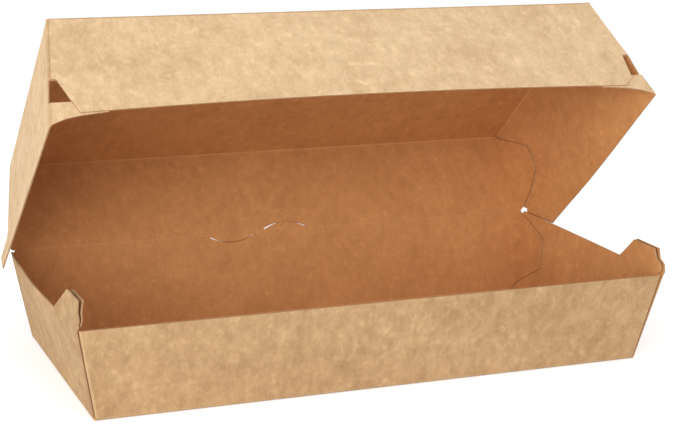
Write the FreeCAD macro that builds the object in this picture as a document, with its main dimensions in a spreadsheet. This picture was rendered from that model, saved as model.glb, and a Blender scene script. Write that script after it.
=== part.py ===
# %% Takeaway box: one folded sheet of kraft board, parted at the hinge crease into a tray and a lid.
#
# Frame: X runs along the box, +Y points from the front wall to the hinge, Z is up.
# The origin is the middle of the floor's underside. Lengths are in millimetres, angles in degrees.
import FreeCAD, Part
import Sketcher
import os

DRIVING_SIZES = {
    # The board and its folds
    "board": 0.5,
    "fold_radius": 1.0,
    # The tray, measured over its outside faces
    "floor_length": 206.4,
    "floor_width": 94.4,
    "tray_height": 33.0,
    "tray_length": 219.4,
    "tray_width": 104.6,
    # The ears at the tray's front corners, measured back from the front rim
    "ear_height": 9.8,
    "ear_clearance": 0.35,
    "ear_foot": 29.3,
    "ear_crown": 16.3,
    "hook_reach": 0.25,
    "hook_rise": 1.4,
    "hook_clearance": 1.0,
    # The loose front tabs and the glued back tabs of the tray
    "tab_gap": 0.25,
    "front_tab_reach": 31.0,
    "front_tab_foot": 22.0,
    "tab_foot_gap": 0.4,
    "back_tab_reach": 23.0,
    "back_tab_root": 3.5,
    "back_tab_shoulder": 8.0,
    "back_tab_heel": 14.0,
    "tab_corner": 1.8,
    # The lid: how far its walls lean in from hinge level to its top
    "lid_height": 34.0,
    "lid_end_taper": 5.6,
    "lid_front_taper": 5.1,
    "lid_back_taper": 5.8,
    "end_clearance": 0.8,
    "front_clearance": 0.15,
    # The lid's edges below hinge level
    "skirt_front": 13.0,
    "skirt_back": 14.0,
    "wing_reach": 13.4,
    "wing_heel": 1.2,
    "rim_drop": 8.5,
    "rim_bow": 2.2,
    # The lid's front corners: tab, slot and band
    "lid_tab_reach": 20.0,
    "lid_tab_drop": 5.0,
    "lid_tab_band": 8.3,
    "seam_inset": 0.7,
    "slot_top": 6.3,
    "slot_bottom": 3.4,
    "slot_reach": 11.0,
    "slot_wrap": 1.0,
    "cut_clearance": 0.3,
    "cut_foot_left": 10.1,
    "cut_foot_right": 5.5,
    # The hinge crease
    "hinge_gap": 0.1,
    "tongue_width": 21.0,
    "tongue_depth": 3.2,
    "tongue_gap": 0.5,
    "lid_tongue_place": -21.6,
    "tray_tongue_place": 1.2,
    "hinge_hole_width": 2.6,
    "hinge_hole_height": 3.4,
    "hinge_hole_inset": 0.6,
    "corner_hole": 1.2,
    "open_angle": 43.3,
}

# Sizes that follow from the driving ones, as expressions on the sheet.
# A slope is the run of a wall for each millimetre of its height.
END_SLOPE = "((sizes.tray_length - sizes.floor_length) / 2 / sizes.tray_height)"
SIDE_SLOPE = "((sizes.tray_width - sizes.floor_width) / 2 / sizes.tray_height)"
END_WALL = f"(sizes.board * sqrt(1 + {END_SLOPE} ^ 2))"
SIDE_WALL = f"(sizes.board * sqrt(1 + {SIDE_SLOPE} ^ 2))"
HALF_LENGTH = "(sizes.tray_length / 2)"
HALF_WIDTH = "(sizes.tray_width / 2)"
EAR_TOP = "(sizes.tray_height + sizes.ear_height)"
RIM = "(sizes.tray_height - sizes.hinge_gap / 2)"
LID_END_SLOPE = "(sizes.lid_end_taper / sizes.lid_height)"
LID_FRONT_SLOPE = "(sizes.lid_front_taper / sizes.lid_height)"
LID_BACK_SLOPE = "(sizes.lid_back_taper / sizes.lid_height)"
LID_END_WALL = f"(sizes.board * sqrt(1 + {LID_END_SLOPE} ^ 2))"
LID_FRONT_WALL = f"(sizes.board * sqrt(1 + {LID_FRONT_SLOPE} ^ 2))"
LID_BACK_WALL = f"(sizes.board * sqrt(1 + {LID_BACK_SLOPE} ^ 2))"
LID_HALF = f"({HALF_LENGTH} + sizes.end_clearance + {LID_END_WALL})"
LID_REACH = f"(sizes.tray_width + sizes.front_clearance + {LID_FRONT_WALL} * 2)"
LID_HEM = "(0 - sizes.hinge_gap / 2)"
TONGUE_RADIUS = "(((sizes.tongue_width / 2) ^ 2 + sizes.tongue_depth ^ 2) / 2 / sizes.tongue_depth)"
RIM_RADIUS = f"(({LID_HALF} ^ 2 + sizes.rim_bow ^ 2) / 2 / sizes.rim_bow)"

# Cutters and prisms run this far past what they cut.
OVERRUN = 8.0

# %% The document and its sheet of driving sizes
doc = FreeCAD.newDocument("takeaway_box")
sheet = doc.addObject("Spreadsheet::Sheet", "sizes")
for row, (alias, number) in enumerate(DRIVING_SIZES.items(), start=1):
    sheet.set(f"A{row}", alias)
    sheet.set(f"B{row}", str(number))
    sheet.setAlias(f"B{row}", alias)
doc.recompute()


# %% Helpers: sketches on three planes, prisms, folded channels and booleans
PLANES = {
    "plan": FreeCAD.Rotation(),
    "front": FreeCAD.Rotation(FreeCAD.Vector(1, 0, 0), 90),
    "side": FreeCAD.Rotation(FreeCAD.Vector(1, 1, 1), 120),
}
ORIGIN_PLANE = {"plan": "XY_Plane", "front": "XZ_Plane", "side": "YZ_Plane"}


def draw(sketch, loops):
    """Closed outlines of straight lines. Each corner is a pair of expressions, both measured from the origin."""
    for corners in loops:
        first = sketch.GeometryCount
        count = len(corners)
        for k in range(count):
            # Rough places keep the solver on the right branch; the constraints then set the real ones.
            start = FreeCAD.Vector(*[evaluate(text) for text in corners[k]], 0)
            end = FreeCAD.Vector(*[evaluate(text) for text in corners[(k + 1) % count]], 0)
            sketch.addGeometry(Part.LineSegment(start, end), False)
        for k in range(count):
            follower = first + (k + 1) % count
            sketch.addConstraint(Sketcher.Constraint("Coincident", first + k, 2, follower, 1))
        for k, (across, up) in enumerate(corners):
            pin(sketch, "DistanceX", first + k, across)
            pin(sketch, "DistanceY", first + k, up)


def pin(sketch, kind, line, text):
    """Holds a line's start at a signed distance from the sketch's origin."""
    index = sketch.addConstraint(Sketcher.Constraint(kind, -1, 1, line, 1, evaluate(text)))
    sketch.setExpression(f"Constraints[{index}]", text)


def evaluate(text):
    """The number that an expression on the sheet stands for."""
    value = sheet.evalExpression(text)
    return float(getattr(value, "Value", value))


def flat_sketch(name, plane, loops):
    sketch = doc.addObject("Sketcher::SketchObject", f"{name}_outline")
    sketch.Placement = FreeCAD.Placement(FreeCAD.Vector(), PLANES[plane])
    draw(sketch, loops)
    return sketch


def prism(name, plane, loops, near=None, far=None):
    """An outline carried straight through the box, or only from near to far along the plane's axis."""
    extrusion = doc.addObject("Part::Extrusion", name)
    extrusion.Base = flat_sketch(name, plane, loops)
    extrusion.DirMode = "Normal"
    extrusion.Solid = True
    if near is None:
        reach = "sizes.tray_length"
        extrusion.setExpression("LengthFwd", reach)
        extrusion.setExpression("LengthRev", reach)
    else:
        extrusion.setExpression("LengthFwd", far)
        extrusion.setExpression("LengthRev", f"0 - ({near})")
    return extrusion


def channel(name, plane, corners, outer_folds, inner_folds):
    """A folded strip: its section padded through the box, then each fold rounded outside and inside."""
    body = doc.addObject("PartDesign::Body", name)
    section = body.newObject("Sketcher::SketchObject", f"{name}_section")
    role = ORIGIN_PLANE[plane]
    support = [f for f in body.Origin.OriginFeatures if f.Role == role][0]
    section.AttachmentSupport = [(support, "")]
    section.MapMode = "FlatFace"
    draw(section, [corners])
    pad = body.newObject("PartDesign::Pad", f"{name}_pad")
    pad.Profile = section
    pad.Midplane = True
    pad.setExpression("Length", "sizes.tray_length * 2")
    doc.recompute()
    round_folds(body, pad, section, outer_folds, "outer", "sizes.fold_radius")
    if inner_folds:
        round_folds(body, body.Tip, section, inner_folds, "inner", "sizes.fold_radius - sizes.board")
    return body


def round_folds(body, base, section, corners, side, radius):
    """Rounds the long edges that run out of the section's given corners."""
    spots = [section.Placement.multVec(section.getPoint(k, 1)) for k in corners]
    picked = []
    for number, edge in enumerate(base.Shape.Edges, start=1):
        run = edge.lastVertex().Point - edge.firstVertex().Point
        if run.Length < evaluate("sizes.tray_length"):
            continue
        run.normalize()
        middle = edge.CenterOfMass
        if any(((middle - spot).cross(run)).Length < 1e-4 for spot in spots):
            picked.append(f"Edge{number}")
    fillet = body.newObject("PartDesign::Fillet", f"{body.Name}_{side}_folds")
    fillet.Base = (base, picked)
    fillet.setExpression("Radius", radius)
    body.Tip = fillet
    doc.recompute()


def boolean(kind, name, *pieces):
    result = doc.addObject(f"Part::{kind}", name)
    if kind in ("Cut", "Common"):
        result.Base, result.Tool = pieces
    else:
        result.Shapes = list(pieces)
    # Flush faces are merged once, on the finished pieces.
    result.Refine = False
    return result


def rod(name, direction, radius, length, place):
    """A cylinder along Y or Z whose first end is at place, three expressions."""
    cylinder = doc.addObject("Part::Cylinder", name)
    cylinder.setExpression("Radius", radius)
    cylinder.setExpression("Height", length)
    if direction == "y":
        cylinder.Placement.Rotation = FreeCAD.Rotation(FreeCAD.Vector(1, 0, 0), -90)
    for axis, text in zip("xyz", place):
        cylinder.setExpression(f"Placement.Base.{axis}", text)
    return cylinder


def mirrored(corners):
    """The same outline on the other side of the middle, with its first number's sign turned."""
    return [(f"0 - ({across})", up) for across, up in corners]


def both_ways(corners):
    """One symmetrical outline from its right half, listed from the bottom middle upwards."""
    return corners + mirrored(corners)[::-1]


# %% The closed lid's faces: the ears and tabs inside it are fitted to them
def lid_end(height, inset="0"):
    """Half-length of the lid's end face at a height above the hinge, less an inset."""
    return f"{LID_HALF} - {LID_END_SLOPE} * ({height}) - ({inset})"


def lid_front(height, inset="0"):
    """Place of the lid's front face, in front of the hinge, at a height above it and moved back by an inset."""
    return f"{LID_FRONT_SLOPE} * ({height}) - {LID_REACH} + ({inset})"


def lid_back(height, inset="0"):
    """Place of the lid's back face at a height above the hinge, moved forward by an inset."""
    return f"0 - {LID_BACK_SLOPE} * ({height}) - ({inset})"


# %% Tray sections: floor, walls and the layers in which the tabs lie
def tray_end(height, inset="0"):
    """Half-length of the tray's end face at a height up to the rim, less an inset."""
    return f"sizes.floor_length / 2 + {END_SLOPE} * ({height}) - ({inset})"


def tray_side(height, inset="0"):
    """Half-width of the tray's front or back face at a height, less an inset."""
    return f"sizes.floor_width / 2 + {SIDE_SLOPE} * ({height}) - ({inset})"


def end_profile(inset, foot):
    """Right half of the end walls' outline in front view: flared to the rim, then leaning in at the ears."""
    return [
        (tray_end(foot, inset), foot),
        (tray_end("sizes.tray_height", inset), "sizes.tray_height"),
        (lid_end("sizes.ear_height", f"{LID_END_WALL} + sizes.ear_clearance + {inset}"), EAR_TOP),
    ]


def end_layer(outer, inner, foot):
    """One layer of board along an end wall, between two insets from its outer face."""
    return end_profile(outer, foot) + end_profile(inner, foot)[::-1]


side_walls = channel(
    "tray_side_walls",
    "side",
    both_ways([
        (tray_side("0"), "0"),
        (tray_side(RIM), RIM),
        (tray_side(RIM, SIDE_WALL), RIM),
        (tray_side("sizes.board", SIDE_WALL), "sizes.board"),
    ]),
    outer_folds=(0, 7),
    inner_folds=(3, 4),
)
end_walls = channel(
    "tray_end_walls",
    "front",
    both_ways(end_profile("0", "0") + end_profile(END_WALL, "sizes.board")[::-1]),
    outer_folds=(0, 11),
    inner_folds=(5, 6),
)
tray_block = channel(
    "tray_block",
    "front",
    both_ways([(tray_end("0"), "0"), (tray_end("sizes.tray_height"), "sizes.tray_height")]),
    outer_folds=(0, 3),
    inner_folds=(),
)

# %% Tray outlines, seen from the side
FRONT_RIM = f"0 - {HALF_WIDTH}"


def behind_rim(distance):
    return f"{FRONT_RIM} + {distance}"


def ear_front(height):
    """The ears' front edge, just behind the tabs inside the closed lid's front wall."""
    behind = lid_front(height, f"{LID_FRONT_WALL} * 2 + sizes.ear_clearance")
    return f"{HALF_WIDTH} + {behind}", f"sizes.tray_height + {height}"


HOOK_TOP = "(sizes.slot_top - sizes.hook_clearance)"
ear = [
    (behind_rim("sizes.ear_foot"), "sizes.tray_height"),
    (behind_rim("sizes.ear_crown"), EAR_TOP),
    ear_front("sizes.ear_height"),
    ear_front("(sizes.slot_top - sizes.hook_clearance / 2)"),
    (behind_rim("-sizes.hook_reach"), f"sizes.tray_height + {HOOK_TOP}"),
    (behind_rim("-sizes.hook_reach"), "sizes.tray_height + sizes.hook_rise"),
    (FRONT_RIM, "sizes.tray_height"),
]
end_outline = prism("tray_end_outline", "side", [[
    (f"0 - ({tray_side('0')})", "0"),
    (tray_side("0"), "0"),
    (HALF_WIDTH, "sizes.tray_height"),
    *ear,
]])
front_tab_outline = prism("front_tab_outline", "side", [[
    (f"0 - ({tray_side('sizes.board', 'sizes.board / 2')})", "sizes.board + sizes.tab_foot_gap"),
    (behind_rim("sizes.front_tab_foot"), "sizes.board + sizes.tab_foot_gap"),
    (behind_rim("sizes.front_tab_reach"), "sizes.tray_height"),
    *ear,
]])
back_tab_outline = prism("back_tab_outline", "side", [[
    (tray_side("sizes.board", "sizes.board / 2"), "sizes.board"),
    (f"{HALF_WIDTH} - sizes.back_tab_shoulder", "sizes.board + sizes.back_tab_root"),
    (f"{HALF_WIDTH} - sizes.back_tab_reach", "sizes.back_tab_heel"),
    (f"{HALF_WIDTH} - sizes.back_tab_reach + sizes.tab_corner", "sizes.tray_height - sizes.back_tab_shoulder"),
    (f"{HALF_WIDTH} - sizes.back_tab_root", "sizes.tray_height - sizes.tab_corner"),
    (tray_side("sizes.tray_height - sizes.tab_corner", "sizes.board / 2"), "sizes.tray_height - sizes.tab_corner"),
]])

# %% Tray layers: the loose front tabs, the slit that frees them and the glued back tabs
LOOSE_FACE = f"{END_WALL} + sizes.tab_gap"
loose_layer = end_layer(LOOSE_FACE, f"{LOOSE_FACE} + {END_WALL}", "sizes.board")
slit_layer = end_layer(END_WALL, LOOSE_FACE, "sizes.board")
glued_layer = end_layer(END_WALL, f"{END_WALL} * 2", "sizes.board")
loose_tabs = prism("tray_loose_layer", "front", [loose_layer, mirrored(loose_layer)])
glued_tabs = prism("tray_glued_layer", "front", [glued_layer, mirrored(glued_layer)])
slits = prism(
    "tray_slits",
    "front",
    [slit_layer, mirrored(slit_layer)],
    near=f"{HALF_WIDTH} - sizes.front_tab_reach",
    far=f"{HALF_WIDTH} + {OVERRUN}",
)

# %% The hinge: two rounded tongues, each cut free of the other wall, and the holes at the crease's ends
def disc(name, place, height, clearance, front, depth):
    """A disc across the hinge crease: a tongue's outline, or its recess with the clearance added."""
    return rod(name, "y", f"{TONGUE_RADIUS} + {clearance}", depth, (place, front, height))


BELOW = f"{TONGUE_RADIUS} - sizes.tongue_depth"
tray_tongue_slab = prism("tray_tongue_slab", "side", [[
    (tray_side("sizes.tray_height - sizes.tongue_depth"), "sizes.tray_height - sizes.tongue_depth"),
    (tray_side(EAR_TOP), EAR_TOP),
    (tray_side(EAR_TOP, SIDE_WALL), EAR_TOP),
    (tray_side("sizes.tray_height - sizes.tongue_depth", SIDE_WALL), "sizes.tray_height - sizes.tongue_depth"),
]])
hinge_front = f"{HALF_WIDTH} - sizes.tongue_depth"
hinge_depth = "sizes.tongue_depth * 3"
tray_tongue_disc = disc(
    "tray_tongue_disc", "sizes.tray_tongue_place", f"sizes.tray_height - ({BELOW})", "0", hinge_front, hinge_depth
)
tray_recess = disc(
    "tray_recess", "sizes.lid_tongue_place", f"sizes.tray_height + {BELOW}", "sizes.tongue_gap", hinge_front,
    hinge_depth,
)


def hinge_holes(name, height, near, far):
    """A diamond at each end of the crease, cut through the back corner."""
    middle = f"{HALF_LENGTH} - sizes.hinge_hole_inset"
    diamond = [
        (f"{middle} - sizes.hinge_hole_width / 2", height),
        (middle, f"{height} - sizes.hinge_hole_height / 2"),
        (f"{middle} + sizes.hinge_hole_width / 2", height),
        (middle, f"{height} + sizes.hinge_hole_height / 2"),
    ]
    return prism(name, "front", [diamond, mirrored(diamond)], near=near, far=far)


def corner_holes(name, half_length, near_side, far_side, height):
    """A small round hole where each pair of folds meets, as a die cuts it."""
    holes = []
    for side, along in (("front", near_side), ("back", far_side)):
        for end, sign in (("left", "-1"), ("right", "1")):
            place = (f"{sign} * ({half_length})", along, height)
            holes.append(rod(f"{name}_{side}_{end}", "z", "sizes.corner_hole / 2", "sizes.fold_radius * 2", place))
    return boolean("MultiFuse", name, *holes)


tray_hinge_holes = hinge_holes(
    "tray_hinge_holes",
    "sizes.tray_height",
    near=f"0 - ({HALF_WIDTH} + {OVERRUN})",
    far=f"0 - ({HALF_WIDTH} - sizes.hinge_hole_width)",
)
tray_corner_holes = corner_holes(
    "tray_corner_holes",
    "sizes.floor_length / 2 - sizes.board / 2",
    "0 - (sizes.floor_width / 2 - sizes.board / 2)",
    "sizes.floor_width / 2 - sizes.board / 2",
    "0 - sizes.board",
)

# %% The tray: walls, tabs and tongue joined, then slits and holes cut
tray_walls = boolean(
    "MultiFuse",
    "tray_walls",
    boolean("Common", "tray_long_walls", side_walls, tray_block),
    boolean("Common", "tray_short_walls", end_walls, end_outline),
)
tray_loose = boolean(
    "MultiFuse",
    "tray_with_front_tabs",
    tray_walls,
    boolean("Common", "tray_front_tabs", loose_tabs, front_tab_outline),
)
tray_glued = boolean(
    "MultiFuse",
    "tray_with_back_tabs",
    tray_loose,
    boolean("Common", "tray_back_tabs", glued_tabs, back_tab_outline),
)
tray_folded = boolean(
    "MultiFuse",
    "tray_folded",
    tray_glued,
    boolean("Common", "tray_tongue", tray_tongue_slab, tray_tongue_disc),
)
tray_cuts = boolean("MultiFuse", "tray_cuts", slits, tray_recess, tray_hinge_holes, tray_corner_holes)
tray = boolean("Cut", "tray", tray_folded, tray_cuts)


# %% Lid sections, drawn closed with the hinge crease at the origin: Y is minus the distance from the hinge
TOP = "sizes.lid_height"
UNDER_TOP = "(sizes.lid_height - sizes.board)"
RIM_END = "(0 - sizes.rim_drop)"
lid_side_walls = channel(
    "lid_side_walls",
    "side",
    [
        (lid_back(TOP), TOP),
        (lid_back("sizes.hinge_gap / 2"), "sizes.hinge_gap / 2"),
        (lid_back("sizes.hinge_gap / 2", LID_BACK_WALL), "sizes.hinge_gap / 2"),
        (lid_back(UNDER_TOP, LID_BACK_WALL), UNDER_TOP),
        (lid_front(UNDER_TOP, LID_FRONT_WALL), UNDER_TOP),
        (lid_front(RIM_END, LID_FRONT_WALL), RIM_END),
        (lid_front(RIM_END), RIM_END),
        (lid_front(TOP), TOP),
    ],
    outer_folds=(0, 7),
    inner_folds=(3, 4),
)
SKIRT = "(0 - sizes.skirt_back)"
lid_end_walls = channel(
    "lid_end_walls",
    "front",
    both_ways([
        (lid_end(TOP), TOP),
        (lid_end(SKIRT), SKIRT),
        (lid_end(SKIRT, LID_END_WALL), SKIRT),
        (lid_end(UNDER_TOP, LID_END_WALL), UNDER_TOP),
    ]),
    outer_folds=(0, 7),
    inner_folds=(3, 4),
)
lid_block = channel(
    "lid_block",
    "front",
    both_ways([(lid_end(TOP), TOP), (lid_end(SKIRT), SKIRT)]),
    outer_folds=(0, 3),
    inner_folds=(),
)

# %% Lid end walls, with the cut-off corner by the hinge, and the tabs glued inside them
FRONT_SKIRT = "(0 - sizes.skirt_front)"
lid_end_outline = prism("lid_end_outline", "side", [[
    (lid_back(TOP), TOP),
    ("0", "0"),
    ("0", "0 - sizes.wing_heel"),
    ("0 - sizes.wing_reach", SKIRT),
    (lid_front(FRONT_SKIRT, LID_FRONT_WALL), FRONT_SKIRT),
    (lid_front(TOP, LID_FRONT_WALL), TOP),
]])
lid_glued_layer = [
    (lid_end(SKIRT, LID_END_WALL), SKIRT),
    (lid_end(UNDER_TOP, LID_END_WALL), UNDER_TOP),
    (lid_end(UNDER_TOP, f"{LID_END_WALL} * 2"), UNDER_TOP),
    (lid_end(SKIRT, f"{LID_END_WALL} * 2"), SKIRT),
]
lid_back_layer = prism("lid_back_layer", "front", [lid_glued_layer, mirrored(lid_glued_layer)])
lid_back_tab_outline = prism("lid_back_tab_outline", "side", [[
    (lid_back(UNDER_TOP, "sizes.board / 2"), UNDER_TOP),
    (lid_back("sizes.tab_corner", "sizes.board / 2"), "sizes.tab_corner"),
    (lid_back("0", "sizes.back_tab_root"), "sizes.tab_corner"),
    (lid_back("0", "sizes.back_tab_reach - sizes.tab_corner"), "sizes.back_tab_shoulder"),
    (lid_back("0", "sizes.back_tab_reach"), "sizes.back_tab_heel"),
    (lid_back("0", "sizes.back_tab_reach"), "sizes.lid_height - sizes.back_tab_heel"),
    (lid_back(UNDER_TOP, "sizes.back_tab_root"), "sizes.lid_height - sizes.back_tab_root"),
]])

# %% Lid front corners: the end walls' tabs lie behind the front wall, and a slot leaves a band below it
lid_front_layer = prism("lid_front_layer", "side", [[
    (lid_front(SKIRT, LID_FRONT_WALL), SKIRT),
    (lid_front(UNDER_TOP, LID_FRONT_WALL), UNDER_TOP),
    (lid_front(UNDER_TOP, f"{LID_FRONT_WALL} * 2"), UNDER_TOP),
    (lid_front(SKIRT, f"{LID_FRONT_WALL} * 2"), SKIRT),
]])
lid_front_tab = [
    (lid_end(FRONT_SKIRT), FRONT_SKIRT),
    (lid_end(TOP), UNDER_TOP),
    (lid_end(TOP, "sizes.lid_tab_reach - sizes.lid_tab_drop"), UNDER_TOP),
    (lid_end(TOP, "sizes.lid_tab_reach"), "sizes.lid_height - sizes.lid_tab_drop"),
    (lid_end("0", "sizes.lid_tab_reach"), "0 - sizes.lid_tab_band"),
    (lid_end("0", "sizes.lid_tab_reach / 2"), "0 - sizes.lid_tab_band - sizes.board * 2"),
    (lid_end("0", "sizes.lid_tab_reach / 5"), "0 - (sizes.lid_tab_band + sizes.skirt_front) / 2"),
]
lid_front_tab_outline = prism("lid_front_tab_outline", "front", [lid_front_tab, mirrored(lid_front_tab)])
slot = [
    (lid_end("0", "sizes.slot_reach"), "0 - sizes.slot_bottom"),
    (lid_end(f"0 - {OVERRUN}"), "0 - sizes.slot_bottom"),
    (lid_end(f"0 - {OVERRUN}"), "sizes.slot_top"),
    (lid_end("0", "sizes.slot_reach"), "sizes.slot_top"),
]
slots = prism(
    "lid_slots",
    "front",
    [slot, mirrored(slot)],
    near=f"{LID_REACH} - {LID_FRONT_SLOPE} * sizes.slot_top - {LID_FRONT_WALL} - sizes.slot_wrap",
    far=f"{LID_REACH} + {OVERRUN}",
)


EAR_LAYERS = f"{LID_END_WALL} + sizes.ear_clearance + {END_WALL} * 2 + sizes.tab_gap"


def front_trim(foot):
    """What is cut from one end of the front wall: a seam strip, then the slanted corner under the slot's top."""
    return [
        (lid_end(TOP, "sizes.seam_inset"), "sizes.lid_height - sizes.fold_radius"),
        (lid_end("sizes.slot_top", "sizes.seam_inset"), "sizes.slot_top"),
        (lid_end("sizes.slot_top", f"{EAR_LAYERS} + sizes.cut_clearance"), "sizes.slot_top"),
        (lid_end(RIM_END, foot), "0 - sizes.rim_drop - sizes.board"),
        (lid_end(SKIRT, f"0 - {OVERRUN}"), "0 - sizes.rim_drop - sizes.board"),
        (lid_end(SKIRT, f"0 - {OVERRUN}"), "sizes.lid_height - sizes.fold_radius"),
    ]


front_trims = prism(
    "lid_front_trims",
    "front",
    [front_trim("sizes.cut_foot_right"), mirrored(front_trim("sizes.cut_foot_left"))],
    near=f"{LID_REACH} - sizes.lid_front_taper - sizes.fold_radius",
    far=f"{LID_REACH} + {OVERRUN}",
)
rim_curve = rod(
    "lid_rim_curve",
    "y",
    RIM_RADIUS,
    f"{OVERRUN} * 2",
    ("0", f"0 - {LID_REACH} - {OVERRUN}", f"{RIM_END} + sizes.rim_bow - {RIM_RADIUS}"),
)

# %% Lid tongue, recess and holes
lid_tongue_slab = prism("lid_tongue_slab", "side", [[
    (lid_back("0 - sizes.tongue_depth * 2"), "0 - sizes.tongue_depth * 2"),
    (lid_back("sizes.tongue_depth"), "sizes.tongue_depth"),
    (lid_back("sizes.tongue_depth", LID_BACK_WALL), "sizes.tongue_depth"),
    (lid_back("0 - sizes.tongue_depth * 2", LID_BACK_WALL), "0 - sizes.tongue_depth * 2"),
]])
lid_tongue_disc = disc(
    "lid_tongue_disc", "sizes.lid_tongue_place", BELOW, "0", "0 - sizes.tongue_depth", hinge_depth
)
lid_tongue_floor = prism("lid_tongue_floor", "side", [[
    ("0 - sizes.tongue_depth * 2", "0 - sizes.tongue_depth * 2"),
    ("sizes.tongue_depth * 2", "0 - sizes.tongue_depth * 2"),
    ("sizes.tongue_depth * 2", "sizes.hinge_gap"),
    ("0 - sizes.tongue_depth * 2", "sizes.hinge_gap"),
]])
lid_recess = disc(
    "lid_recess", "sizes.tray_tongue_place", f"0 - ({BELOW})", "sizes.tongue_gap", "0 - sizes.tongue_depth",
    hinge_depth,
)
lid_hinge_holes = hinge_holes(
    "lid_hinge_holes", "0", near=f"0 - {OVERRUN}", far="sizes.hinge_hole_width"
)
lid_corner_holes = corner_holes(
    "lid_corner_holes",
    lid_end(TOP, "sizes.board / 2"),
    lid_front(TOP, "sizes.board / 2"),
    lid_back(TOP, "sizes.board / 2"),
    "sizes.lid_height + sizes.board - sizes.fold_radius * 2",
)

# %% The lid: tabbed end walls with their slots, then the long walls over them, turned open about the crease
lid_tabbed_ends = boolean(
    "Cut",
    "lid_tabbed_ends",
    boolean(
        "MultiFuse",
        "lid_ends",
        boolean("Common", "lid_short_walls", lid_end_walls, lid_end_outline),
        boolean("Common", "lid_front_tabs", lid_front_layer, lid_front_tab_outline),
    ),
    slots,
)
lid_long_walls = boolean(
    "Cut",
    "lid_trimmed_walls",
    boolean("Common", "lid_long_walls", lid_side_walls, lid_block),
    boolean("MultiFuse", "lid_wall_trims", front_trims, rim_curve),
)
lid_tongue = boolean(
    "Common",
    "lid_tongue",
    boolean("Common", "lid_tongue_piece", lid_tongue_slab, lid_tongue_disc),
    lid_tongue_floor,
)
lid_folded = boolean(
    "MultiFuse",
    "lid_folded",
    lid_tabbed_ends,
    lid_long_walls,
    boolean("Common", "lid_back_tabs", lid_back_layer, lid_back_tab_outline),
    lid_tongue,
)
lid_cuts = boolean("MultiFuse", "lid_cuts", lid_recess, lid_hinge_holes, lid_corner_holes)
lid = boolean("Cut", "lid", lid_folded, lid_cuts)
lid.Placement = FreeCAD.Placement(FreeCAD.Vector(), FreeCAD.Rotation(FreeCAD.Vector(1, 0, 0), 0))
lid.setExpression("Placement.Base.y", HALF_WIDTH)
lid.setExpression("Placement.Base.z", "sizes.tray_height")
lid.setExpression("Placement.Rotation.Angle", "0 - sizes.open_angle")
tray.Refine = True
lid.Refine = True

# %% Check every object, then write one file for each piece
doc.recompute()
for item in doc.Objects:
    if "Invalid" in item.State or "Error" in item.State:
        raise RuntimeError(f"{item.Name} did not compute: {item.State}")
os.makedirs("parts", exist_ok=True)
for piece in (tray, lid):
    piece.Label = piece.Name
    shape = piece.Shape
    if shape.isNull() or not shape.isValid() or len(shape.Solids) != 1:
        raise RuntimeError(f"{piece.Label} is not one sound solid: {len(shape.Solids)} solids")
    box = shape.BoundBox
    print(
        f"{piece.Label}: {shape.Volume / 1000:.2f} cm3, "
        f"x {box.XMin:.1f}..{box.XMax:.1f}, y {box.YMin:.1f}..{box.YMax:.1f}, z {box.ZMin:.1f}..{box.ZMax:.1f}"
    )
    shape.exportStep(f"parts/{piece.Label}.step")
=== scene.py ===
# %% [markdown]
# # A folded takeaway box in kraft board
# The real box is one sheet of board, cut and creased flat, then folded up. Its looks come from three
# things: the outline of each panel, the soft crease where two panels meet, and the board itself, which
# is pale and mottled outside, darker and warmer inside, and light where it is cut.

import bmesh
import bpy
import math
from mathutils import Matrix, Vector, noise


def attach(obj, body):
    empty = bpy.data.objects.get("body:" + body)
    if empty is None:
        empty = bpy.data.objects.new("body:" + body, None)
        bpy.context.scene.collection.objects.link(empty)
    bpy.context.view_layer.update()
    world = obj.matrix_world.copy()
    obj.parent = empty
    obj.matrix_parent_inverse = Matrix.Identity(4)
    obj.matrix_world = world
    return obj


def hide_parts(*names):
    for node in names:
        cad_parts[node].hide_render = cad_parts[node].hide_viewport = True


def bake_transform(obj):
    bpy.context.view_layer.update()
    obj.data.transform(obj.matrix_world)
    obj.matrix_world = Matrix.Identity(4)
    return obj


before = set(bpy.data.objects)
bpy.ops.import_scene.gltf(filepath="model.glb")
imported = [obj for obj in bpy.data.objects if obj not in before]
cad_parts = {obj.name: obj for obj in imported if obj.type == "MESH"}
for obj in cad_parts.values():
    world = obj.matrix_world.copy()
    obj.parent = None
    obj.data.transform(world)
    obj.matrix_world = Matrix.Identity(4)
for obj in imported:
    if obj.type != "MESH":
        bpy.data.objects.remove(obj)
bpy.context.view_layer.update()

# %% [markdown]
# ## Sizes
# The panels are drawn in metres from the same sizes as the solids. The tray's walls flare outward and
# the lid's walls flare the other way, so each wall gets a slope: how far it runs for each metre up.

# %% Sizes of the folded sheet
MM = 0.001
BOARD = 0.5 * MM
FLOOR_HALF, FLOOR_DEPTH = 103.2 * MM, 47.2 * MM
RIM = 33.0 * MM
RIM_HALF, RIM_DEPTH = 109.7 * MM, 52.3 * MM
EAR = 9.8 * MM
TOP_HALF, TOP = 105.41 * MM, 34.0 * MM
LID_HALF = 111.01 * MM
LID_REACH, LID_FRONT_TAPER, LID_BACK_TAPER = 105.76 * MM, 5.1 * MM, 5.8 * MM
SKIRT_FRONT, SKIRT_BACK = 13.0 * MM, 14.0 * MM
OPEN_ANGLE = math.radians(43.3)
HINGE = Vector((0, RIM_DEPTH, RIM))

LAYER = 0.52 * MM
LOOSE = 0.25 * MM
FOLD_RADIUS = 0.9 * MM
FOLD_ANGLE = 0.2
CREASE_STEPS = 4
SAME_POINT = 0.05 * MM
GRID_STEP, GRID_OFFSET = 7.0 * MM, 0.37

END_SLOPE = (RIM_HALF - FLOOR_HALF) / RIM
SIDE_SLOPE = (RIM_DEPTH - FLOOR_DEPTH) / RIM
LID_END_SLOPE = (LID_HALF - TOP_HALF) / TOP
LID_FRONT_SLOPE = LID_FRONT_TAPER / TOP
LID_BACK_SLOPE = LID_BACK_TAPER / TOP

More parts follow.
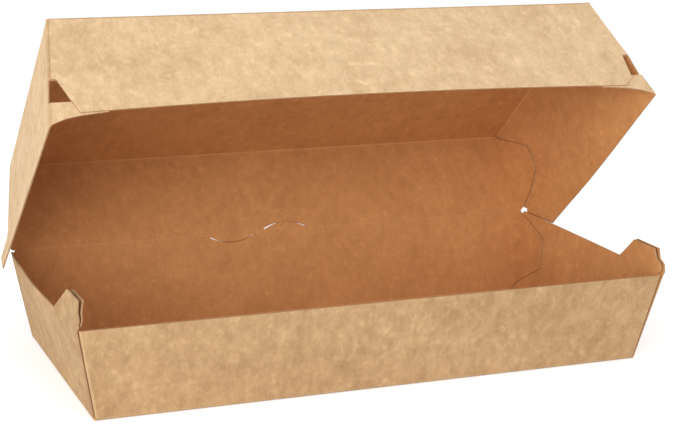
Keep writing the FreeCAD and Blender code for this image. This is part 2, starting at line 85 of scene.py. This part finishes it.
# Material slots. The two crease slots take the crease materials, a painted highlight along the folds.
OUTSIDE, INSIDE, CUT_EDGE, CREASE, CREASE_INSIDE = range(5)

# %% [markdown]
# ## From flat panels to folded board
# A sheet of board is easiest to make as a surface with no thickness. Each panel is one face, placed on
# the outside of its wall, and panels that share a fold share its two points. Bevelling the shared edges
# rounds the creases and gives them their own material, which paints a highlight along each fold.
# Slicing the sheet with a grid of planes leaves enough points to bend the walls a little, because folded
# board is never quite flat. A Solidify modifier then grows the thickness inward and paints the inside and
# the cut edges.


# %% Helpers: panels, arcs, creases, bends and thickness
def ramp(value, start, stop):
    """0 before start, 1 after stop, and a smooth rise between."""
    share = clamp((value - start) / (stop - start))
    return share * share * (3 - 2 * share)


def clamp(share):
    """Keeps a share between 0 and 1."""
    return max(0.0, min(1.0, share))


def panel(sheet, corners):
    """One flat panel of the sheet, from its corners in order, seen from outside."""
    return sheet.faces.new([sheet.verts.new(corner) for corner in corners])


def arc(start, end, rise, steps=9):
    """Points (along, up) from start to end on a round cut that rises or dips by rise in the middle."""
    chord = end[0] - start[0]
    radius = (chord**2 / 4 + rise**2) / (2 * abs(rise))
    half_turn = math.asin(min(1.0, abs(chord) / 2 / radius))
    points = []
    for step in range(steps + 1):
        turn = half_turn * (2 * step / steps - 1)
        lift = (radius * math.cos(turn) - radius * math.cos(half_turn)) * math.copysign(1, rise)
        share = radius * math.sin(turn) / abs(chord)
        points.append((start[0] + chord * (0.5 + share), start[1] + lift))
    return points


def slice_grid(sheet, step):
    """Cuts every panel along planes a step apart, so that it can bend."""
    for axis in range(3):
        normal = Vector([float(axis == k) for k in range(3)])
        places = [v.co[axis] for v in sheet.verts]
        place = math.floor(min(places) / step) * step + step * GRID_OFFSET
        while place < max(places):
            everything = sheet.verts[:] + sheet.edges[:] + sheet.faces[:]
            bmesh.ops.bisect_plane(
                sheet, geom=everything, dist=1e-7, plane_co=normal * place, plane_no=normal,
            )
            place += step


def fold(sheet, radius=FOLD_RADIUS):
    """Rounds every edge where two panels meet at an angle, as a creasing rule leaves it."""
    bmesh.ops.remove_doubles(sheet, verts=sheet.verts, dist=SAME_POINT)
    inner_edges = [e for e in sheet.edges if len(e.link_faces) == 2]
    creases = [e for e in inner_edges if e.calc_face_angle(0.0) > FOLD_ANGLE]
    # The rounded crease faces take the crease slot, which is painted with a highlight.
    bmesh.ops.bevel(
        sheet, geom=creases, affect="EDGES", offset=radius, offset_type="OFFSET", segments=CREASE_STEPS,
        profile=0.5, clamp_overlap=False, material=CREASE,
    )


def wave(place, size, seed):
    """A slow random bend, the same on each run, between about -1 and 1."""
    return noise.noise(Vector(place) / size + Vector((seed, seed * 0.7, 0)))


def board_piece(name, sheet, body, bend=None, turn=None, thickness=BOARD):
    """Turns the finished surface into a piece of board that rides on a body."""
    slice_grid(sheet, GRID_STEP)
    if bend:
        for v in sheet.verts:
            v.co += bend(v.co.copy())
    for edge in sheet.edges:
        edge.smooth = not edge.is_boundary
    for face in sheet.faces:
        face.smooth = True
    if turn:
        bmesh.ops.transform(sheet, matrix=turn, verts=sheet.verts)
    mesh = bpy.data.meshes.new(name)
    sheet.to_mesh(mesh)
    sheet.free()
    piece = bpy.data.objects.new(name, mesh)
    bpy.context.scene.collection.objects.link(piece)
    solid = piece.modifiers.new("board", "SOLIDIFY")
    solid.thickness = thickness
    solid.offset = -1.0
    solid.material_offset = 1
    solid.material_offset_rim = 2
    flats = piece.modifiers.new("flat_panels", "WEIGHTED_NORMAL")
    flats.keep_sharp = True
    if body:
        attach(piece, body)
    print(f"{name}: {len(mesh.vertices)} points, {len(mesh.polygons)} faces")
    return piece


# %% [markdown]
# ## The tray
# The tray is a floor with four flared walls. Its front wall carries a tab at each end, which is tucked
# loose inside the end wall and rises with it as a double ear. The back wall's tabs are glued inside the
# end walls. The curved cut in the middle of the hinge leaves one tongue on the tray and one on the lid.


# %% Faces of the tray: where each wall's outside lies at a height
def tray_front(x, z):
    return (x, -FLOOR_DEPTH - SIDE_SLOPE * z, z)


def tray_back(x, z):
    return (x, FLOOR_DEPTH + SIDE_SLOPE * z, z)


def tray_end(side, y, z, inset=0.0):
    """A point on an end wall, left (-1) or right (1)."""
    return (side * (FLOOR_HALF + END_SLOPE * z - inset), y, z)


# %% The tongues along the hinge crease, as (x, height above the crease)
TONGUE = 3.2 * MM
TONGUES = (
    arc((-32.1 * MM, 0), (-11.1 * MM, 0), -TONGUE),
    arc((-9.3 * MM, 0), (11.7 * MM, 0), TONGUE),
)
TONGUE_HELD, TONGUE_LAP, TONGUE_LEAN = 1.3 * MM, 0.2, 0.3
HINGE_GAP = 0.085 * MM
HINGE_END = RIM_HALF - 1.6 * MM


def hinge_line(half_gap, dip_is_own):
    """The back wall's upper edge from left to right. Its own tongue is a little longer and leans left."""
    line = [(-HINGE_END, half_gap)]
    for cut, own in zip(TONGUES, (dip_is_own, not dip_is_own)):
        middle, half = (cut[0][0] + cut[-1][0]) / 2, (cut[-1][0] - cut[0][0]) / 2
        for x, up in cut:
            free = own * max(0.0, abs(up) - TONGUE_HELD)
            lean = TONGUE_LEAN * free * clamp(2 * (middle - x) / half)
            line.append((x - lean, up + math.copysign(TONGUE_LAP * free, up) + half_gap))
    return line + [(HINGE_END, half_gap)]


# %% Outlines of the tray's end walls and corner tabs
CORNER_CUT = LOOSE + LAYER
TAB_DROP = 1.4 * MM
HOOK = 1.2 * MM

# An ear's points are (distance from the front corner, height above the rim), from the corner upward.
END_EAR = (
    (0.0, 0.0), (-HOOK, 1.4 * MM), (-HOOK, 4.4 * MM), (1.3 * MM, 6.0 * MM), (1.9 * MM, EAR),
    (16.3 * MM, EAR), (29.3 * MM, 0.0),
)
TAB_EAR = (
    (0.0, 0.0), (1.3 * MM, 0.5 * MM), (-0.6 * HOOK, 1.9 * MM), (-0.6 * HOOK, 4.4 * MM),
    (1.6 * MM, 6.0 * MM), (2.2 * MM, EAR), (15.8 * MM, EAR), (30.3 * MM, -1.6 * MM),
)

# The other outlines are (y, z): the end wall's rim by the hinge, the loose tab's foot, the glued tab.
END_RIM = ((RIM_DEPTH - 1.2 * MM, RIM), (RIM_DEPTH - 0.2 * MM, RIM - 1.3 * MM))
TAB_LOW = (24.0 * MM - RIM_DEPTH, 1.6 * MM)
TRAY_TAB = (
    (49.1 * MM, 31.2 * MM), (35.5 * MM, 27.2 * MM), (31.2 * MM, 25.1 * MM), (29.2 * MM, 16.5 * MM),
    (29.3 * MM, 13.9 * MM), (44.0 * MM, 4.4 * MM),
)


def ear(points):
    return [(-RIM_DEPTH + inward, RIM + up) for inward, up in points]


def facing(side, corners):
    """The corners in order on the left side, and in the other order on the right side."""
    return corners[::-1] if side > 0 else corners


# %% Fold the tray
def tray_sheet():
    sheet = bmesh.new()
    inner = FLOOR_HALF - CORNER_CUT
    glued = FLOOR_HALF - LAYER
    floor = []
    for side in (-1, 1):
        corners = [(side * glued, FLOOR_DEPTH, 0), (side * FLOOR_HALF, FLOOR_DEPTH - LAYER, 0)]
        corners += [(side * FLOOR_HALF, -FLOOR_DEPTH + CORNER_CUT, 0), (side * inner, -FLOOR_DEPTH, 0)]
        floor += facing(-side, corners)
    panel(sheet, floor)
    rim_inner = RIM_HALF - CORNER_CUT
    front = [tray_front(-inner, 0), tray_front(inner, 0)]
    front += [tray_front(rim_inner, RIM), tray_front(-rim_inner, RIM)]
    panel(sheet, front)
    back_side, back_height = RIM_HALF - LAYER, RIM - TAB_DROP
    back = [tray_back(glued, 0), tray_back(-glued, 0), tray_back(-back_side, back_height)]
    back += [tray_back(x, RIM + up) for x, up in hinge_line(-HINGE_GAP, False)]
    panel(sheet, back + [tray_back(back_side, back_height)])
    for side in (-1, 1):
        wall = [(CORNER_CUT - FLOOR_DEPTH, 0), *ear(END_EAR), *END_RIM, (FLOOR_DEPTH - LAYER, 0)]
        panel(sheet, facing(side, [tray_end(side, y, z) for y, z in wall]))
        tab = [(-FLOOR_DEPTH, 0.0), *ear(TAB_EAR), TAB_LOW]
        panel(sheet, facing(side, [tray_end(side, y, z, CORNER_CUT) for y, z in tab]))
        tab = [(FLOOR_DEPTH, 0), (FLOOR_DEPTH + SIDE_SLOPE * back_height, back_height), *TRAY_TAB]
        panel(sheet, facing(-side, [tray_end(side, y, z, LAYER) for y, z in tab]))
    fold(sheet)
    return sheet


# %% Bend the tray's walls a little
TRAY_SPREAD_LEFT, TRAY_SPREAD_RIGHT = 1.9 * MM, 0.4 * MM
EAR_LEAN, EAR_GAP = 1.17 * MM, 0.9 * MM
TRAY_WAVE = 0.3 * MM


def near_end(depth):
    """1 on an end wall and its tabs, 0 further into the box."""
    return 1 - ramp(depth, 3 * MM, 6 * MM)


def tray_bend(place):
    """The end walls spread at the rim, the left one more, the ears lean in, and the rest waves a little."""
    x, y, z = place
    rise = clamp(z / RIM)
    above = max(0.0, z - RIM)
    depth = FLOOR_HALF + END_SLOPE * z - abs(x)
    end = near_end(depth)
    back = RIM_DEPTH - y
    along = clamp(back / (40 * MM)) * (1 - 0.85 * ramp(back, 44 * MM, 96 * MM))
    outward = (TRAY_SPREAD_RIGHT if x > 0 else TRAY_SPREAD_LEFT) * rise * along * end
    outward -= (END_SLOPE + EAR_LEAN / EAR) * above
    outward -= EAR_GAP * above / EAR * ramp(depth, 0.3 * MM, 0.6 * MM)
    sway = TRAY_WAVE * wave(place, 60 * MM, 3.0) * (1.0 - end) * math.sin(math.pi * rise)
    return Vector((outward * math.copysign(1, x), sway, 0))


tray = board_piece("tray_board", tray_sheet(), "tray", tray_bend)
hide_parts("tray")

# %% [markdown]
# ## The lid
# The lid is modelled closed, flat over the tray, with the hinge crease at the origin. That keeps its
# numbers simple. At the end it is turned about the crease to the angle at which it stands. Its front wall
# is glued over the end walls' tabs, and a slot at each front corner lets the tray's ears through.


# %% Faces of the closed lid: y is measured from the hinge, w is the height above it
def lid_reach(w):
    return LID_HALF - LID_END_SLOPE * w


def lid_end(side, y, w, inset=0.0):
    return (side * (lid_reach(w) - inset), y, w)


def lid_front(x, w, inset=0.0):
    return (x, -LID_REACH + LID_FRONT_SLOPE * w + inset, w)


def lid_back(x, w):
    return (x, -LID_BACK_SLOPE * w, w)


# %% Outlines of the lid's walls and tabs, as (x, w) on the front wall and (y, w) on the end walls
SLOT_TOP, SLOT_LOW = 6.3 * MM, -3.4 * MM
SEAM = 0.8 * MM
FRONT_EDGE = -LID_REACH + LAYER
SLOT_BACK = FRONT_EDGE + 1.0 * MM
LEFT_CORNER_CUT = (
    (-109.0 * MM, SLOT_TOP + 0.2 * MM), (-107.3 * MM, SLOT_TOP), (-104.4 * MM, -2.7 * MM),
)
RIGHT_CORNER_CUT = (
    (106.2 * MM, SLOT_LOW - 1.5 * MM), (106.9 * MM, SLOT_TOP), (109.2 * MM, SLOT_TOP + 0.2 * MM),
)
LID_RIM = arc((102.3 * MM, -8.4 * MM), (-102.3 * MM, -8.4 * MM), 2.1 * MM, 16)[::-1]
WING = ((-0.3 * MM, 1.3 * MM), (-1.9 * MM, 0.0), (-0.8 * MM, -1.2 * MM), (-13.4 * MM, -SKIRT_BACK))
FRONT_TAB_INNER = (
    (107.6 * MM, -10.5 * MM), (101.7 * MM, -9.2 * MM), (92.6 * MM, -8.3 * MM),
    (86.0 * MM, TOP - 5.0 * MM), (90.0 * MM, TOP - 0.6 * MM),
)
LID_TAB_FOOT = 1.8 * MM
LID_TAB = (
    (-LID_BACK_TAPER, TOP), (-0.3 * MM, LID_TAB_FOOT), (-1.7 * MM, LID_TAB_FOOT), (-11.4 * MM, 4.1 * MM),
    (-20.1 * MM, 7.8 * MM), (-22.6 * MM, 11.4 * MM), (-22.6 * MM, 18.8 * MM), (-9.0 * MM, 30.3 * MM),
)


# %% Fold the lid
def lid_sheet():
    sheet = bmesh.new()
    front_top = -LID_REACH + LID_FRONT_TAPER
    back_top = -LID_BACK_TAPER
    seam = TOP_HALF - SEAM
    glued = TOP_HALF - LAYER
    top = [
        (-glued, back_top, TOP), (-TOP_HALF, back_top - LAYER, TOP), (-TOP_HALF, front_top + LAYER, TOP),
        (-seam, front_top, TOP), (seam, front_top, TOP), (TOP_HALF, front_top + LAYER, TOP),
        (TOP_HALF, back_top - LAYER, TOP), (glued, back_top, TOP),
    ]
    panel(sheet, top)
    front = [(seam, TOP), (-seam, TOP), *LEFT_CORNER_CUT, *LID_RIM, *RIGHT_CORNER_CUT]
    panel(sheet, [lid_front(x, w) for x, w in front])
    back_side = LID_HALF - LAYER - 0.3 * MM
    back = [(-glued, TOP), (glued, TOP), (back_side, LID_TAB_FOOT), *hinge_line(HINGE_GAP, True)[::-1]]
    panel(sheet, [lid_back(x, w) for x, w in back + [(-back_side, LID_TAB_FOOT)]])
    slot = [(FRONT_EDGE + LID_FRONT_SLOPE * SLOT_LOW, SLOT_LOW), (SLOT_BACK, SLOT_LOW)]
    slot += [(SLOT_BACK, SLOT_TOP), (FRONT_EDGE + LID_FRONT_SLOPE * SLOT_TOP, SLOT_TOP)]
    wall = [(back_top - LAYER, TOP), *WING, (FRONT_EDGE - LID_FRONT_SLOPE * SKIRT_FRONT, -SKIRT_FRONT)]
    wall += [*slot, (front_top + LAYER, TOP)]
    front_tab = [(lid_reach(TOP), TOP), (lid_reach(SLOT_TOP), SLOT_TOP)]
    front_tab += [(lid_reach(SLOT_TOP) - 10.0 * MM, SLOT_TOP), (lid_reach(SLOT_TOP) - 11.0 * MM, SLOT_LOW)]
    front_tab += [(lid_reach(SLOT_LOW), SLOT_LOW), (lid_reach(-SKIRT_FRONT), -SKIRT_FRONT)]
    front_tab += FRONT_TAB_INNER
    for side in (-1, 1):
        panel(sheet, facing(side, [lid_end(side, y, w) for y, w in wall]))
        panel(sheet, facing(side, [lid_front(side * x, w, LAYER) for x, w in front_tab]))
        panel(sheet, facing(side, [lid_end(side, y, w, LAYER + 0.1 * MM) for y, w in LID_TAB]))
    fold(sheet)
    return sheet


# %% Bend the lid's walls a little
LID_SPREAD_LEFT = 3.4 * MM
LID_SPREAD_RIGHT, LID_PINCH_RIGHT = 0.8 * MM, 0.45 * MM
LID_WAVE, LID_TOP_WAVE = 0.3 * MM, 0.35 * MM


def lid_bend(place):
    """The left end wall spreads most by the hinge, the right one bows, and the rest waves a little."""
    x, y, w = place
    low = clamp((TOP - w) / (TOP + SKIRT_BACK))
    glued = ramp(w, -6 * MM, 4 * MM)
    if x < 0:
        free = glued * ramp(-y, 2 * MM, 26 * MM) + 1 - glued
        outward = LID_SPREAD_LEFT * low * max(0.0, 1.1 + y / (100 * MM)) * free
    else:
        bow = ramp(-y, 24 * MM, 50 * MM) * (1 - 0.8 * ramp(-y, 60 * MM, 104 * MM))
        outward = LID_SPREAD_RIGHT * low * bow
        outward -= LID_PINCH_RIGHT * (1 - glued) * (1 - ramp(-y, 14 * MM, 34 * MM))
    end = near_end(lid_reach(w) - abs(x))
    inner = (1.0 - end) * math.sin(math.pi * clamp(-y / LID_REACH))
    sway = LID_WAVE * wave(place, 60 * MM, 8.0) * inner
    lift = LID_TOP_WAVE * wave(place, 80 * MM, 5.0) * ramp(w, 28 * MM, 33 * MM) * inner
    return Vector((outward * end * math.copysign(1, x), sway, lift))


OPENED = Matrix.Translation(HINGE) @ Matrix.Rotation(-OPEN_ANGLE, 4, "X")
lid = board_piece("lid_board", lid_sheet(), "lid", lid_bend, OPENED)
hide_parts("lid")

# %% [markdown]
# ## The hinge crease
# On the real sheet the back wall simply carries on from the tray into the lid, across a crease. That
# short stretch bends when the lid turns, so it is a strip of its own that follows the tray at its lower
# edge and the lid at its upper edge. The strips stop where the curved cut parts the sheet.

# %% Bend a strip of board across the hinge
CREASE_REACH = 1.1 * MM
CREASE_ROUND = 0.7 * MM
CREASE_SINK = 0.04 * MM
TRAY_WAY = Vector((0, SIDE_SLOPE, 1)).normalized()
LID_WAY = (OPENED.to_3x3() @ Vector((0, -LID_BACK_SLOPE, 1))).normalized()


def crease_strip(name, left, right):
    """A strip along the hinge from left to right, a little thinner than the board and inside it."""
    strip = bmesh.new()
    sink = Vector((0, -1, 0)) * CREASE_SINK
    low = HINGE - TRAY_WAY * CREASE_REACH + sink
    middle = HINGE + sink
    high = HINGE + LID_WAY * CREASE_REACH + sink
    heights = (low, middle, high)
    rows = [[strip.verts.new((x, place.y, place.z)) for place in heights] for x in (left, right)]
    for k in range(2):
        strip.faces.new((rows[0][k], rows[0][k + 1], rows[1][k + 1], rows[1][k]))
    ridge = [e for e in strip.edges if len(e.link_faces) == 2]
    # The rounded ridge takes the crease slot, which is painted with a highlight.
    bmesh.ops.bevel(
        strip, geom=ridge, affect="EDGES", offset=CREASE_ROUND, segments=CREASE_STEPS, profile=0.5,
        material=CREASE,
    )
    bmesh.ops.recalc_face_normals(strip, faces=strip.faces)
    if sum(f.normal.y for f in strip.faces) < 0:
        bmesh.ops.reverse_faces(strip, faces=strip.faces)
    piece = board_piece(name, strip, None, thickness=BOARD - 2 * CREASE_SINK)
    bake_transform(piece)
    return piece


DIP, RISE = TONGUES
CREASES = [
    crease_strip("hinge_crease_left", -HINGE_END, DIP[0][0] + 1.7 * MM),
    crease_strip("hinge_crease_middle", DIP[-1][0] - 1.3 * MM, RISE[0][0] + 1.6 * MM),
    crease_strip("hinge_crease_right", RISE[-1][0] - 1.7 * MM, HINGE_END),
]

# %% [markdown]
# ## The board's materials
# Kraft board is brown because its fibres are. Outside, the fibres clump into soft clouds with darker
# and lighter threads running along the sheet. Inside, it is smoother and a warmer, deeper brown. One node
# group makes the clouds and threads, and each material gives it its own colour and strength. The tray's
# outside is a darker copy of the board with painted shade, the lid's outside is a lighter copy with painted
# light, and the creases carry a painted highlight.


# %% One node group for the clouds and fibres of kraft board
def fibre_group():
    group = bpy.data.node_groups.new("kraft_fibres", "ShaderNodeTree")
    face = group.interface
    for name, kind, value in (
        ("Board", "NodeSocketColor", (0.6, 0.4, 0.2, 1)),
        ("Clouds", "NodeSocketFloat", 0.1),
        ("Threads", "NodeSocketFloat", 0.1),
    ):
        face.new_socket(name, in_out="INPUT", socket_type=kind).default_value = value
    face.new_socket("Color", in_out="OUTPUT", socket_type="NodeSocketColor")
    face.new_socket("Height", in_out="OUTPUT", socket_type="NodeSocketFloat")
    nodes, links = group.nodes, group.links
    given = nodes.new("NodeGroupInput")
    made = nodes.new("NodeGroupOutput")
    coords = nodes.new("ShaderNodeTexCoord")

    def noise_at(scale, detail, rough, stretch=(1, 1, 1)):
        mapping = nodes.new("ShaderNodeMapping")
        mapping.inputs["Scale"].default_value = stretch
        links.new(coords.outputs["Object"], mapping.inputs["Vector"])
        texture = nodes.new("ShaderNodeTexNoise")
        texture.inputs["Scale"].default_value = scale
        texture.inputs["Detail"].default_value = detail
        texture.inputs["Roughness"].default_value = rough
        links.new(mapping.outputs["Vector"], texture.inputs["Vector"])
        return texture.outputs["Fac"]

    def math_node(kind, a, b):
        node = nodes.new("ShaderNodeMath")
        node.operation = kind
        for socket, value in zip(node.inputs, (a, b)):
            if isinstance(value, (int, float)):
                socket.default_value = value
            else:
                links.new(value, socket)
        return node.outputs[0]

    clouds = noise_at(1.0, 6.0, 0.68, (235, 165, 165))
    patches = noise_at(48.0, 3.0, 0.5)
    threads = noise_at(1.0, 3.0, 0.7, (1300, 620, 620))
    cloud_part = math_node("MULTIPLY", math_node("SUBTRACT", clouds, 0.5), given.outputs["Clouds"])
    half = math_node("MULTIPLY", given.outputs["Clouds"], 0.5)
    patch_part = math_node("MULTIPLY", math_node("SUBTRACT", patches, 0.5), half)
    thread_part = math_node("MULTIPLY", math_node("SUBTRACT", threads, 0.5), given.outputs["Threads"])
    flecks = math_node("MAXIMUM", math_node("SUBTRACT", noise_at(330.0, 1.5, 0.5), 0.56), 0.0)
    fleck_part = math_node("MULTIPLY", flecks, math_node("MULTIPLY", given.outputs["Clouds"], 1.05))
    broad = math_node("ADD", cloud_part, patch_part)
    fine = math_node("ADD", thread_part, fleck_part)
    total = math_node("ADD", broad, fine)
    swing = nodes.new("ShaderNodeVectorMath")
    swing.operation = "SCALE"
    swing.inputs[0].default_value = (0.8, 1.0, 1.25)
    links.new(total, swing.inputs["Scale"])
    gain = nodes.new("ShaderNodeVectorMath")
    gain.operation = "MULTIPLY_ADD"
    links.new(swing.outputs[0], gain.inputs[0])
    links.new(given.outputs["Board"], gain.inputs[1])
    links.new(given.outputs["Board"], gain.inputs[2])
    links.new(gain.outputs[0], made.inputs["Color"])
    links.new(math_node("ADD", clouds, threads), made.inputs["Height"])
    return group


FIBRES = fibre_group()


# %% Board materials: one for each face of the sheet, with painted shade on the tray's outside, painted light on the lid's and a painted highlight on the creases
def srgb(red, green, blue):
    """A colour as the eye names it, 0 to 255, turned to the linear values that a shader takes."""
    values = [c / 255 for c in (red, green, blue)]
    return [c / 12.92 if c < 0.04045 else ((c + 0.055) / 1.055) ** 2.4 for c in values] + [1.0]


def board_material(name, colour, clouds, threads, roughness=0.85, bump=0.15):
    material = bpy.data.materials.new(name)
    material.use_nodes = True
    nodes, links = material.node_tree.nodes, material.node_tree.links
    shader = nodes["Principled BSDF"]
    shader.inputs["Roughness"].default_value = roughness
    shader.inputs["Specular IOR Level"].default_value = 0.25
    fibres = nodes.new("ShaderNodeGroup")
    fibres.node_tree = FIBRES
    fibres.inputs["Board"].default_value = colour
    fibres.inputs["Clouds"].default_value = clouds
    fibres.inputs["Threads"].default_value = threads
    links.new(fibres.outputs["Color"], shader.inputs["Base Color"])
    relief = nodes.new("ShaderNodeBump")
    relief.inputs["Strength"].default_value = bump
    relief.inputs["Distance"].default_value = 0.05 * MM
    links.new(fibres.outputs["Height"], relief.inputs["Height"])
    links.new(relief.outputs["Normal"], shader.inputs["Normal"])
    return material


def dress(piece, outside, inside):
    """Gives a board piece its five materials: two faces, of which the outside carries painted shade on the
    tray and painted light on the lid, cut edge, and the crease seen from both sides with a painted
    highlight.
    """
    for material in (outside, inside, RAW_EDGE, CREASE_OUTER_HIGHLIGHT, CREASE_INNER_HIGHLIGHT):
        piece.data.materials.append(material)


# The tray and the lid are one board. The tray's outside is a darker copy with painted shade, and the lid's
# is a lighter copy with painted light, for the light that falls more on the opened lid than on the tray.
TRAY_OUTSIDE_SHADED = board_material("kraft_tray_outside_painted_shade", srgb(185, 149, 108), 1.0, 0.45)
LID_OUTSIDE_LIT = board_material("kraft_lid_outside_painted_light", srgb(213, 180, 139), 0.75, 0.4)
KRAFT_INSIDE = board_material("kraft_inside", srgb(202, 144, 89), 0.62, 0.3, 0.7, 0.08)
RAW_EDGE = board_material("kraft_cut_edge", srgb(178, 138, 100), 0.2, 0.5)
# The crease materials paint a highlight along the rounded folds, outside and inside.
CREASE_OUTER_HIGHLIGHT = board_material("kraft_crease_outside_painted_highlight", srgb(194, 159, 118), 0.6, 0.4)
CREASE_INNER_HIGHLIGHT = board_material("kraft_crease_inside_painted_highlight", srgb(211, 155, 101), 0.3, 0.2)
dress(tray, TRAY_OUTSIDE_SHADED, KRAFT_INSIDE)
dress(lid, LID_OUTSIDE_LIT, KRAFT_INSIDE)
for crease in CREASES:
    dress(crease, TRAY_OUTSIDE_SHADED, KRAFT_INSIDE)

# %% [markdown]
# ## Floor, light and camera
# The box stands on a plain white floor in soft light from all round, with one large lamp above and to
# the front, so that the shadows inside it stay open.

# %% Floor
floor_sheet = bmesh.new()
bmesh.ops.create_grid(floor_sheet, x_segments=1, y_segments=1, size=6.0)
bmesh.ops.translate(floor_sheet, verts=floor_sheet.verts, vec=(0, 0, -0.2 * MM))
floor_mesh = bpy.data.meshes.new("studio_floor")
floor_sheet.to_mesh(floor_mesh)
floor_sheet.free()
studio_floor = bpy.data.objects.new("studio_floor", floor_mesh)
bpy.context.scene.collection.objects.link(studio_floor)
floor_paint = bpy.data.materials.new("studio_white")
floor_paint.use_nodes = True
floor_nodes, floor_links = floor_paint.node_tree.nodes, floor_paint.node_tree.links
floor_shader = floor_nodes["Principled BSDF"]
floor_shader.inputs["Base Color"].default_value = (0.9, 0.9, 0.9, 1)
floor_shader.inputs["Roughness"].default_value = 0.9
glow = floor_nodes.new("ShaderNodeEmission")
glow.inputs["Strength"].default_value = 0.4
seen = floor_nodes.new("ShaderNodeLightPath")
lift = floor_nodes.new("ShaderNodeMixShader")
floor_links.new(seen.outputs["Is Camera Ray"], lift.inputs["Fac"])
floor_links.new(glow.outputs[0], lift.inputs[2])
both = floor_nodes.new("ShaderNodeAddShader")
floor_links.new(floor_shader.outputs[0], both.inputs[0])
floor_links.new(lift.outputs[0], both.inputs[1])
floor_links.new(both.outputs[0], floor_nodes["Material Output"].inputs["Surface"])
floor_mesh.materials.append(floor_paint)

# %% World and lamps
world = bpy.data.worlds.new("studio")
bpy.context.scene.world = world
world.use_nodes = True
sky_nodes, sky_links = world.node_tree.nodes, world.node_tree.links
sky = sky_nodes["Background"]
sky.inputs["Color"].default_value = (1, 1, 1, 1)
sky.inputs["Strength"].default_value = 0.63
backdrop = sky_nodes.new("ShaderNodeBackground")
backdrop.inputs["Color"].default_value = (1, 1, 1, 1)
rays = sky_nodes.new("ShaderNodeLightPath")
mix = sky_nodes.new("ShaderNodeMixShader")
sky_links.new(rays.outputs["Is Camera Ray"], mix.inputs["Fac"])
sky_links.new(sky.outputs[0], mix.inputs[1])
sky_links.new(backdrop.outputs[0], mix.inputs[2])
sky_links.new(mix.outputs[0], sky_nodes["World Output"].inputs["Surface"])


def soft_lamp(name, place, aim, size, watts, colour=(1, 1, 1)):
    lamp = bpy.data.lights.new(name, "AREA")
    lamp.color = colour
    lamp.size = size
    lamp.energy = watts
    lamp_object = bpy.data.objects.new(name, lamp)
    lamp_object.location = place
    lamp_object.rotation_euler = (Vector(aim) - Vector(place)).to_track_quat("-Z", "Y").to_euler()
    bpy.context.scene.collection.objects.link(lamp_object)


soft_lamp("key_softbox", (0.1, -0.9, 0.9), (0, 0, 0.05), 0.9, 3.5)
soft_lamp("low_fill", (-0.95, -0.95, 0.22), (0, 0, 0.06), 0.9, 13.0)
soft_lamp("left_fill", (-1.25, -0.35, 0.3), (0.05, 0, 0.04), 0.5, 3.5, (0.78, 0.9, 1.0))

# %% The camera: where the photograph was taken from
CAMERA_PLACE = Vector((-226.12, -538.82, 194.27)) * MM
YAW, DROP, ROLL = 0.3628, 0.2429, 0.0149
FOCAL_PIXELS, SHIFT_X, SHIFT_Y = 1628.23, -61.87, 6.78
PICTURE_WIDTH = 680

forward = Vector((math.sin(YAW) * math.cos(DROP), math.cos(YAW) * math.cos(DROP), -math.sin(DROP)))
level_right = Vector((math.cos(YAW), -math.sin(YAW), 0))
level_up = level_right.cross(forward)
right = math.cos(ROLL) * level_right + math.sin(ROLL) * level_up
up = -math.sin(ROLL) * level_right + math.cos(ROLL) * level_up
camera_data = bpy.data.cameras.new("camera")
camera_data.sensor_fit = "HORIZONTAL"
camera_data.sensor_width = 36.0
camera_data.lens = FOCAL_PIXELS / PICTURE_WIDTH * camera_data.sensor_width
camera_data.shift_x = -SHIFT_X / PICTURE_WIDTH
camera_data.shift_y = SHIFT_Y / PICTURE_WIDTH
camera = bpy.data.objects.new("camera", camera_data)
turned = Matrix((right, up, -forward)).transposed().to_4x4()
camera.matrix_world = Matrix.Translation(CAMERA_PLACE) @ turned
bpy.context.scene.collection.objects.link(camera)
bpy.context.scene.camera = camera
bpy.context.scene.view_settings.view_transform = "Standard"
